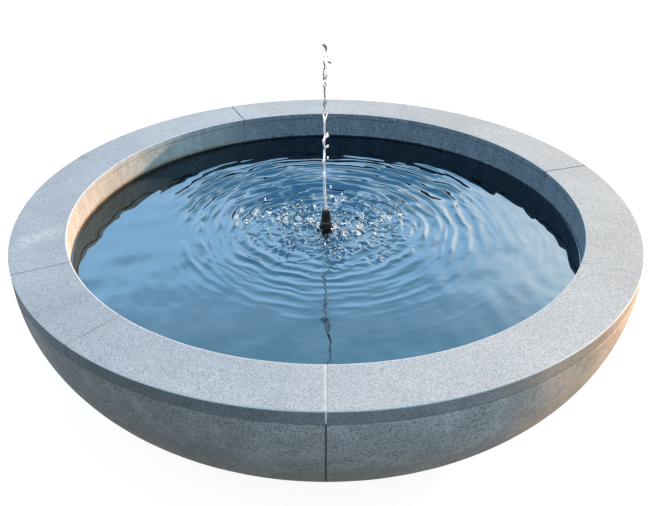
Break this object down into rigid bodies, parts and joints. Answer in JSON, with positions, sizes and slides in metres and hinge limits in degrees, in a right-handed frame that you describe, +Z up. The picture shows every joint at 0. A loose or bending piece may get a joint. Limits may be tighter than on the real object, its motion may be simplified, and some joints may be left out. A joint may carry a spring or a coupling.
{
  "type": "garden fountain",
  "caption": "Round stone water bowl on a low plinth, with jointed coping, a submersible pump, a height-adjustable riser and a tilting nozzle that throws one vertical jet.",
  "frame": {"origin": "on the ground under the centre of the bowl", "axes": "+Z up, -Y towards the front of the bowl, +X to the right seen from the front"},
  "size_m": [2, 2, 1.031],
  "materials": {
    "coping_granite": "matte",
    "bowl_granite": "matte",
    "mortar": "matte",
    "sealant": "matte",
    "stainless": "satin",
    "brass": "satin",
    "rubber": "matte",
    "black_plastic": "satin",
    "nozzle_black": "satin",
    "white_plastic": "satin",
    "shaft_ceramic": "polished",
    "magnet_ferrite": "satin",
    "filter_foam": "matte",
    "water": "polished"
  },
  "bodies": {
    "basin": {"coping_stone_1": "coping_granite", "coping_stone_2": "coping_granite", "coping_stone_3": "coping_granite", "coping_stone_4": "coping_granite", "coping_stone_5": "coping_granite", "coping_stone_6": "coping_granite", "coping_stone_7": "coping_granite", "coping_stone_8": "coping_granite", "coping_pointing": "mortar", "coping_bed": "mortar", "coping_dowels": "stainless", "bowl_stone_1": "bowl_granite", "bowl_stone_2": "bowl_granite", "bowl_stone_3": "bowl_granite", "bowl_stone_4": "bowl_granite", "bowl_joint_seals": "sealant", "tie_cramps": "stainless", "base_stone": "bowl_granite", "bowl_bed": "mortar", "floor_seal": "sealant", "drain_body": "brass", "drain_gasket": "rubber", "drain_locknut": "brass", "gland_body": "black_plastic", "gland_seal": "rubber", "gland_dome_nut": "black_plastic", "gland_locknut": "black_plastic", "pump_casing": "black_plastic", "pump_volute": "black_plastic", "volute_gasket": "rubber", "volute_screws": "stainless", "pump_feet": "rubber", "rotor_shaft": "shaft_ceramic", "shaft_bushes": "rubber", "outlet_adapter": "black_plastic", "riser_pipe": "black_plastic", "pool_water": "water"},
    "rotor": {"rotor_magnet": "magnet_ferrite", "impeller": "white_plastic"},
    "strainer": {"strainer_cover": "black_plastic", "strainer_foam": "filter_foam"},
    "flow_valve": {"flow_plug": "white_plastic", "flow_dial": "black_plastic"},
    "lock_nut": {"riser_lock_nut": "black_plastic"},
    "telescope": {"telescopic_tube": "black_plastic", "ball_socket": "black_plastic"},
    "collar_nut": {"ball_collar_nut": "nozzle_black"},
    "ball_ring": {"ball_seal": "rubber"},
    "nozzle": {"nozzle": "nozzle_black", "water_jet": "water"},
    "plug": {"drain_plug": "black_plastic", "plug_seal": "rubber"}
  },
  "joints": [
    {"name": "rotor_spin", "type": "hinge", "parent": "basin", "child": "rotor", "pos_m": [0, 0.026, 0.168], "axis": [1, 0, 0], "continuous": true},
    {"name": "strainer_pull", "type": "slide", "parent": "basin", "child": "strainer", "axis": [-1, 0, 0], "range_m": [0, 0.1], "deforming": ["pool_water"]},
    {"name": "flow_turn", "type": "hinge", "parent": "basin", "child": "flow_valve", "pos_m": [0, 0.04, 0.242], "axis": [0, 1, 0], "range_deg": [0, 90], "deforming": ["pool_water"]},
    {"name": "lock_nut_turn", "type": "hinge", "parent": "basin", "child": "lock_nut", "pos_m": [0, 0.04, 0.34], "axis": [0, 0, 1], "range_deg": [0, 180], "deforming": ["pool_water"]},
    {"name": "riser_height", "type": "slide", "parent": "basin", "child": "telescope", "axis": [0, 0, 1], "range_m": [-0.018, 0.025], "deforming": ["pool_water"]},
    {"name": "collar_nut_turn", "type": "hinge", "parent": "telescope", "child": "collar_nut", "pos_m": [0, 0.04, 0.411], "axis": [0, 0, 1], "range_deg": [0, 90], "deforming": ["pool_water"]},
    {"name": "nozzle_tilt_x", "type": "hinge", "parent": "telescope", "child": "ball_ring", "pos_m": [0, 0.04, 0.411], "axis": [1, 0, 0], "range_deg": [-10, 10], "deforming": ["pool_water", "water_jet"]},
    {"name": "nozzle_tilt_y", "type": "hinge", "parent": "ball_ring", "child": "nozzle", "pos_m": [0, 0.04, 0.411], "axis": [0, 1, 0], "range_deg": [-10, 10], "deforming": ["pool_water", "water_jet"]},
    {"name": "plug_lift", "type": "slide", "parent": "basin", "child": "plug", "axis": [0, 0, 1], "range_m": [0, 0.42], "deforming": ["pool_water"]}
  ]
}
